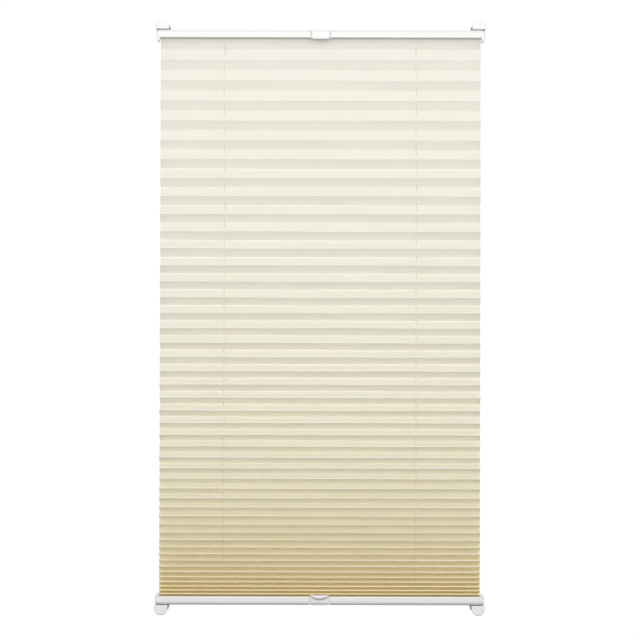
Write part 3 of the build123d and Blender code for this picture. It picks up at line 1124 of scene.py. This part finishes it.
    def drawn(self, points: list[Vector]) -> bmesh.types.BMesh:
        """Draws a smooth round cord through points.

        Args:
            points: The points, in order.

        Returns:
            The cord's shape, with closed ends.
        """
        curve = bpy.data.curves.new("strand", "CURVE")
        curve.dimensions = "3D"
        curve.bevel_depth = self.radius
        curve.bevel_resolution = 2
        curve.resolution_u = 3
        curve.use_fill_caps = True
        spline = curve.splines.new("BEZIER")
        spline.bezier_points.add(len(points) - 1)
        for knot, point in zip(spline.bezier_points, points):
            knot.co = point
            knot.handle_left_type = knot.handle_right_type = "AUTO"
        holder = bpy.data.objects.new("strand", curve)
        mesh = bpy.data.meshes.new_from_object(holder)
        bm = bmesh.new()
        bm.from_mesh(mesh)
        bpy.data.meshes.remove(mesh)
        bpy.data.objects.remove(holder)
        bpy.data.curves.remove(curve)
        return bm


@dataclass
class RailSet:
    """One rail with what it carries."""

    level: Level

    def build(self) -> None:
        """Dresses the rail, its handle, strip, end caps and cord guides."""
        dress_node(f"{self.level.word}_rail", POWDER_COAT)
        dress_node(f"{self.level.word}_handle", MOULDED_ABS)
        dress_node(f"{self.level.word}_fabric_strip", PVC_STRIP)
        for side in Side:
            dress_node(f"{self.level.word}_{side.word}_end_cap", MOULDED_ABS)
            dress_node(f"{self.level.word}_{side.word}_cord_guide", ACETAL)


@dataclass
class Clamp:
    """One corner: the shoe that holds a cord, and the clamp on the window sash."""

    level: Level
    side: Side

    def build(self) -> None:
        """Dresses the corner's pieces."""
        finishes = {
            "tension_shoe": MOULDED_ABS,
            "clamp_bracket": MOULDED_ABS,
            "clamp_jaw": MOULDED_ABS,
            "jaw_pad": RUBBER,
            "clamp_screw": ZINC_PLATE,
            "jaw_nut": ZINC_PLATE,
            "cord_bead": NICKEL,
        }
        for part, finish in finishes.items():
            dress_node(f"{self.level.word}_{self.side.word}_{part}", finish)


@dataclass
class Studio:
    """The white studio: surround, softbox, floor and camera.

    The surround lights the object more from above than from below, and most from behind. The
    camera sees an even white wall in its place.
    """

    distance: float = 5.5
    eye_height: float = -0.16
    # The camera's frame at the blind, and the height of its centre there.
    frame_width: float = 1.0957
    aim_height: float = -0.0045
    lens_rise: float = 0.06
    roll: float = math.radians(0.14)
    sensor_width: float = 36.0
    sight: float = 50.0
    floor_drop: float = 0.24
    floor_radius: float = 2.2
    floor_sides: int = 96
    # The upward share of a direction at which the surround is darkest, and at which brightest.
    dark_way: float = -0.7
    bright_way: float = 0.35
    light_below: float = 0.1
    light_above: float = 0.56
    light_behind: float = 1.2
    wall_light: float = 1.02
    softbox_place: tuple[float, float, float] = (0, -4.0, 1.25)
    softbox_aim: tuple[float, float, float] = (0, 0, -0.2)
    softbox_side: float = 2.6
    softbox_watts: float = 134

    def build(self) -> None:
        """Sets up everything that isn't the object."""
        self.surround()
        self.softbox()
        self.floor()
        self.camera()

    def surround(self) -> None:
        """Makes the surround, and the white wall that the camera sees."""
        world = bpy.data.worlds.new("studio")
        world.use_nodes = True
        tree = world.node_tree
        tree.nodes.clear()
        way = add_node(tree, "SeparateXYZ", inputs={0: add_node(tree, "TexCoord").outputs["Generated"]})
        spread = {
            "Value": way.outputs["Z"],
            "From Min": self.dark_way,
            "From Max": self.bright_way,
            "To Min": self.light_below,
            "To Max": self.light_above,
        }
        around = add_node(tree, "MapRange", inputs=spread).outputs[0]
        behind = add_node(tree, "Math", {"operation": "MAXIMUM"}, {0: way.outputs["Y"], 1: 0.0}).outputs[0]
        added = {0: behind, 1: self.light_behind, 2: around}
        strength = add_node(tree, "Math", {"operation": "MULTIPLY_ADD"}, added).outputs[0]
        white = linear("FFFFFF")
        soft = add_node(tree, "Background", inputs={"Color": white, "Strength": strength}).outputs[0]
        wall = add_node(tree, "Background", inputs={"Color": white, "Strength": self.wall_light}).outputs[0]
        seen = add_node(tree, "LightPath").outputs["Is Camera Ray"]
        both = add_node(tree, "MixShader", inputs={"Fac": seen, 1: soft, 2: wall})
        add_node(tree, "OutputWorld", inputs={"Surface": both.outputs[0]})
        bpy.context.scene.world = world
        bpy.context.scene.view_settings.view_transform = "Standard"

    def softbox(self) -> None:
        """Hangs a square softbox in front, which the camera doesn't see."""
        light = bpy.data.lights.new("front_softbox", "AREA")
        light.size = self.softbox_side
        light.energy = self.softbox_watts
        lamp = bpy.data.objects.new("front_softbox", light)
        lamp.location = self.softbox_place
        aim = Vector(self.softbox_aim) - Vector(self.softbox_place)
        lamp.rotation_euler = aim.to_track_quat("-Z", "Y").to_euler()
        lamp.visible_camera = False
        bpy.context.scene.collection.objects.link(lamp)

    def floor(self) -> None:
        """Lays the pale floor a little below the object."""
        bm = bmesh.new()
        height = CAD_BOX[0].z - self.floor_drop
        bmesh.ops.create_circle(
            bm,
            cap_ends=True,
            radius=self.floor_radius,
            segments=self.floor_sides,
            matrix=Matrix.Translation((0, 0, height)),
        )
        floor = make_piece("studio_floor", bm, PAPER)
        floor.visible_diffuse = False
        floor.visible_glossy = False

    def camera(self) -> None:
        """Sets up the camera in front, a little below the middle of the blind."""
        lens = bpy.data.cameras.new("camera")
        lens.sensor_width = self.sensor_width
        lens.lens = lens.sensor_width * self.distance / self.frame_width
        lens.shift_y = self.lens_rise
        lens.clip_end = self.sight
        camera = bpy.data.objects.new("camera", lens)
        rise = self.aim_height - self.lens_rise * self.frame_width - self.eye_height
        pitch = math.pi / 2 + math.atan2(rise, self.distance)
        place = Matrix.Translation((0.0, -self.distance, self.eye_height))
        camera.matrix_world = place @ Matrix.Rotation(pitch, 4, "X") @ Matrix.Rotation(self.roll, 4, "Z")
        bpy.context.scene.collection.objects.link(camera)
        bpy.context.scene.camera = camera


def main() -> None:
    """Builds the blind and its studio."""
    logging.basicConfig(level=logging.INFO, format="%(name)s: %(message)s")
    Studio().build()
    sheet = PleatedSheet()
    sheet.build()
    TensionCords(sheet).build()
    for level in Level:
        RailSet(level).build()
        for side in Side:
            Clamp(level, side).build()


if __name__ == "__main__":
    main()
